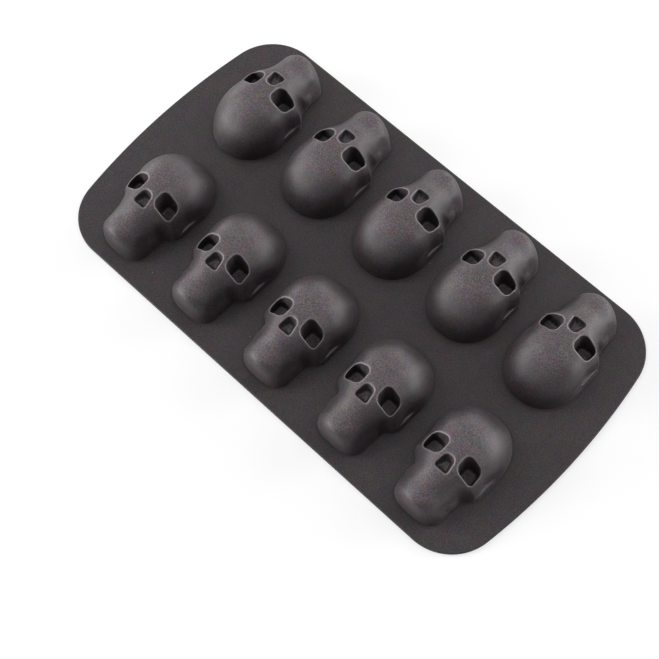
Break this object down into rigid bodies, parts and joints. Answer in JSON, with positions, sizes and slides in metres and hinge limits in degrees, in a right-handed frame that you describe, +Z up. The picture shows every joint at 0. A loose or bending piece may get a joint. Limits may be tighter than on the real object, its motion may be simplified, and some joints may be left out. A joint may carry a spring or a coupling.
{
  "type": "skull mould",
  "caption": "Flexible casting mould: a flat sheet with rounded corners and two rows of hollow skull-shaped cups, open on the underside, for ice or chocolate.",
  "frame": {"origin": "middle of the sheet's open underside, which is the bottom of the bounding box", "axes": "+X along the rows, +Y across them from row a to row b, +Z up out of the sheet through the domes of the cups"},
  "size_m": [0.3, 0.168, 0.0288],
  "materials": {
    "silicone": "matte, smooth moulded silicone in dark warm grey"
  },
  "bodies": {
    "root": {"sheet": "silicone", "skull_cup_a1": "silicone", "skull_cup_a2": "silicone", "skull_cup_a3": "silicone", "skull_cup_a4": "silicone", "skull_cup_a5": "silicone", "skull_cup_b1": "silicone", "skull_cup_b2": "silicone", "skull_cup_b3": "silicone", "skull_cup_b4": "silicone", "skull_cup_b5": "silicone"}
  },
  "joints": []
}
